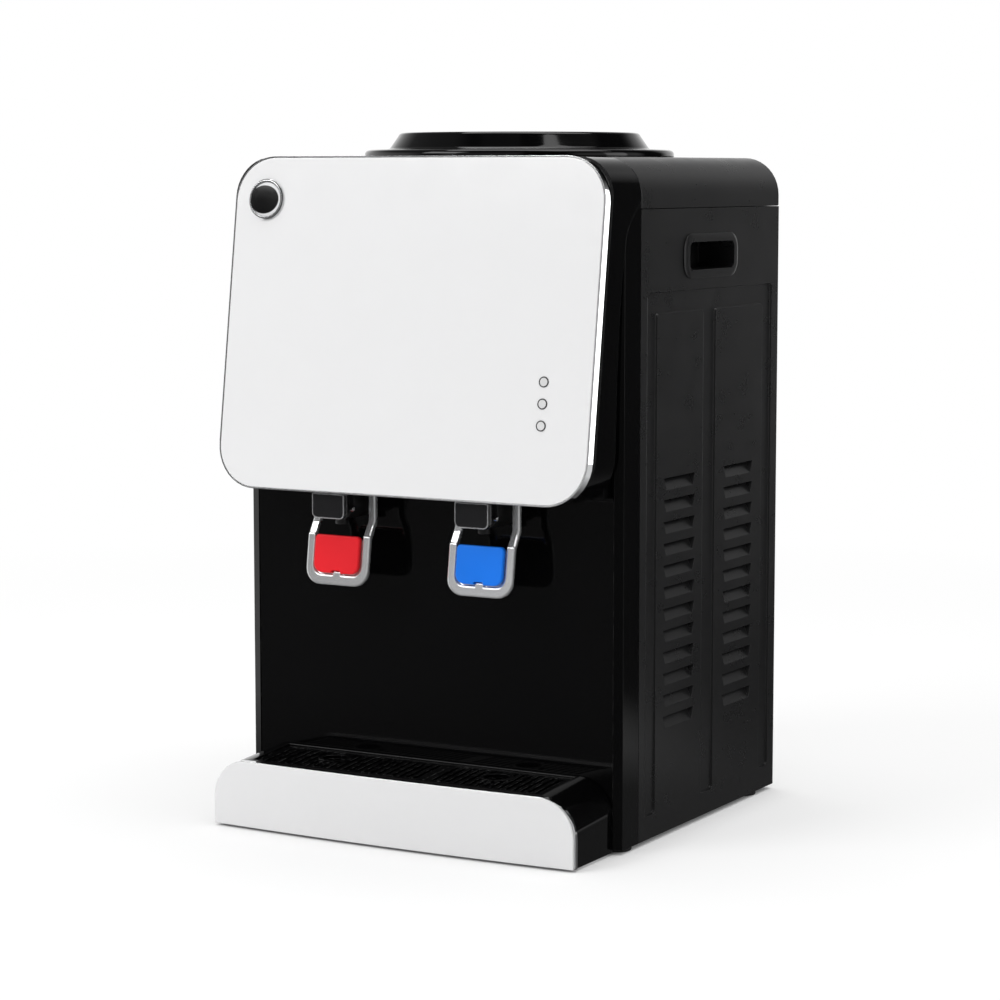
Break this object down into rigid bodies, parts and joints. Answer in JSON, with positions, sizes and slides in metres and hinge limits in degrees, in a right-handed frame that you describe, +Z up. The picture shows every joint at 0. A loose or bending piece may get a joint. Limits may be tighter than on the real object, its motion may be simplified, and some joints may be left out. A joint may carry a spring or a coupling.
{
  "type": "countertop water dispenser",
  "caption": "Countertop dispenser for an upturned bottle, with a tilted white front, hot and cold lever taps, lift-out drip tray, louvred sides and rear condenser.",
  "frame": {"origin": "on the ground under the middle of the object's box", "axes": "+Z up; the front with the taps faces -Y; +X is on the right of someone facing the front"},
  "size_m": [0.3134, 0.338, 0.5059],
  "materials": {
    "gloss_black": "glossy moulded",
    "satin_black": "satin powder coat",
    "cover_black": "satin moulded",
    "matt_black": "matt moulded",
    "white": "glossy",
    "chrome": "mirror",
    "steel": "brushed",
    "galvanised": "galvanised",
    "rubber": "matt",
    "red": "glossy",
    "blue": "glossy",
    "smoke": "smoky gloss",
    "foam": "expanded foam",
    "copper": "drawn tube",
    "hose": "soft hose",
    "lens": "clear",
    "board": "laminate",
    "condenser_black": "matt enamel"
  },
  "bodies": {
    "cabinet": {"front_frame": "gloss_black", "splash_panel": "gloss_black", "hood_shell": "gloss_black", "hand_hold_right": "gloss_black", "hand_hold_left": "gloss_black", "side_panel_right": "satin_black", "side_panel_left": "satin_black", "rear_panel": "satin_black", "top_cover": "cover_black", "hot_tap_body": "matt_black", "cold_tap_body": "matt_black", "hot_switch_housing": "matt_black", "cold_switch_housing": "matt_black", "cord_gland": "matt_black", "drain_spout": "matt_black", "front_panel": "white", "badge_face": "white", "panel_trim": "chrome", "badge_ring": "chrome", "hot_lever_pin": "steel", "cold_lever_pin": "steel", "cold_tank": "steel", "hot_tank": "steel", "base_plate": "galvanised", "tank_shelf": "galvanised", "hot_tank_cradle": "galvanised", "compressor_mount": "galvanised", "foot_front_left": "rubber", "foot_rear_left": "rubber", "foot_front_right": "rubber", "foot_rear_right": "rubber", "hot_tap_cap": "smoke", "cold_tap_cap": "smoke", "tank_foam": "foam", "suction_pipe": "copper", "discharge_pipe": "copper", "cold_hose": "hose", "hot_hose": "hose", "feed_hose": "hose", "indicator_power": "lens", "indicator_hot": "lens", "indicator_cold": "lens", "indicator_board": "board", "condenser": "condenser_black", "compressor": "condenser_black"},
    "hot_lever": {"hot_lever": "chrome", "hot_paddle": "red"},
    "cold_lever": {"cold_lever": "chrome", "cold_paddle": "blue"},
    "drip_tray": {"drip_tray": "gloss_black", "tray_front_plate": "white", "tray_trim": "chrome"},
    "grille_left": {"grille_left": "gloss_black"},
    "grille_right": {"grille_right": "gloss_black"},
    "bottle_seat": {"bottle_collar": "gloss_black", "bottle_probe": "matt_black"},
    "hot_rocker": {"hot_switch_rocker": "red"},
    "cold_rocker": {"cold_switch_rocker": "blue"},
    "drain_cap": {"drain_cap": "matt_black"}
  },
  "joints": [
    {"name": "hot_lever_press", "type": "hinge", "parent": "cabinet", "child": "hot_lever", "pos_m": [-0.05925, -0.124, 0.262], "axis": [1, 0, 0], "range_deg": [0, 13], "stiffness_Nm_per_rad": 0.5, "springref_deg": -6.88},
    {"name": "cold_lever_press", "type": "hinge", "parent": "cabinet", "child": "cold_lever", "pos_m": [0.05925, -0.124, 0.262], "axis": [1, 0, 0], "range_deg": [0, 13], "stiffness_Nm_per_rad": 0.5, "springref_deg": -6.88},
    {"name": "drip_tray_pull", "type": "slide", "parent": "cabinet", "child": "drip_tray", "axis": [0, -1, 0], "range_m": [0, 0.06]},
    {"name": "grille_left_lift", "type": "slide", "parent": "drip_tray", "child": "grille_left", "axis": [0, 0, 1], "range_m": [0, 0.05]},
    {"name": "grille_right_lift", "type": "slide", "parent": "drip_tray", "child": "grille_right", "axis": [0, 0, 1], "range_m": [0, 0.05]},
    {"name": "bottle_seat_lift", "type": "slide", "parent": "cabinet", "child": "bottle_seat", "axis": [0, 0, 1], "range_m": [0, 0.08]},
    {"name": "hot_rocker_tip", "type": "hinge", "parent": "cabinet", "child": "hot_rocker", "pos_m": [0.09, 0.15, 0.42], "axis": [-1, 0, 0], "range_deg": [0, 18]},
    {"name": "cold_rocker_tip", "type": "hinge", "parent": "cabinet", "child": "cold_rocker", "pos_m": [0.058, 0.15, 0.42], "axis": [-1, 0, 0], "range_deg": [0, 18]},
    {"name": "drain_cap_off", "type": "slide", "parent": "cabinet", "child": "drain_cap", "axis": [0, 1, 0], "range_m": [0, 0.025]}
  ]
}
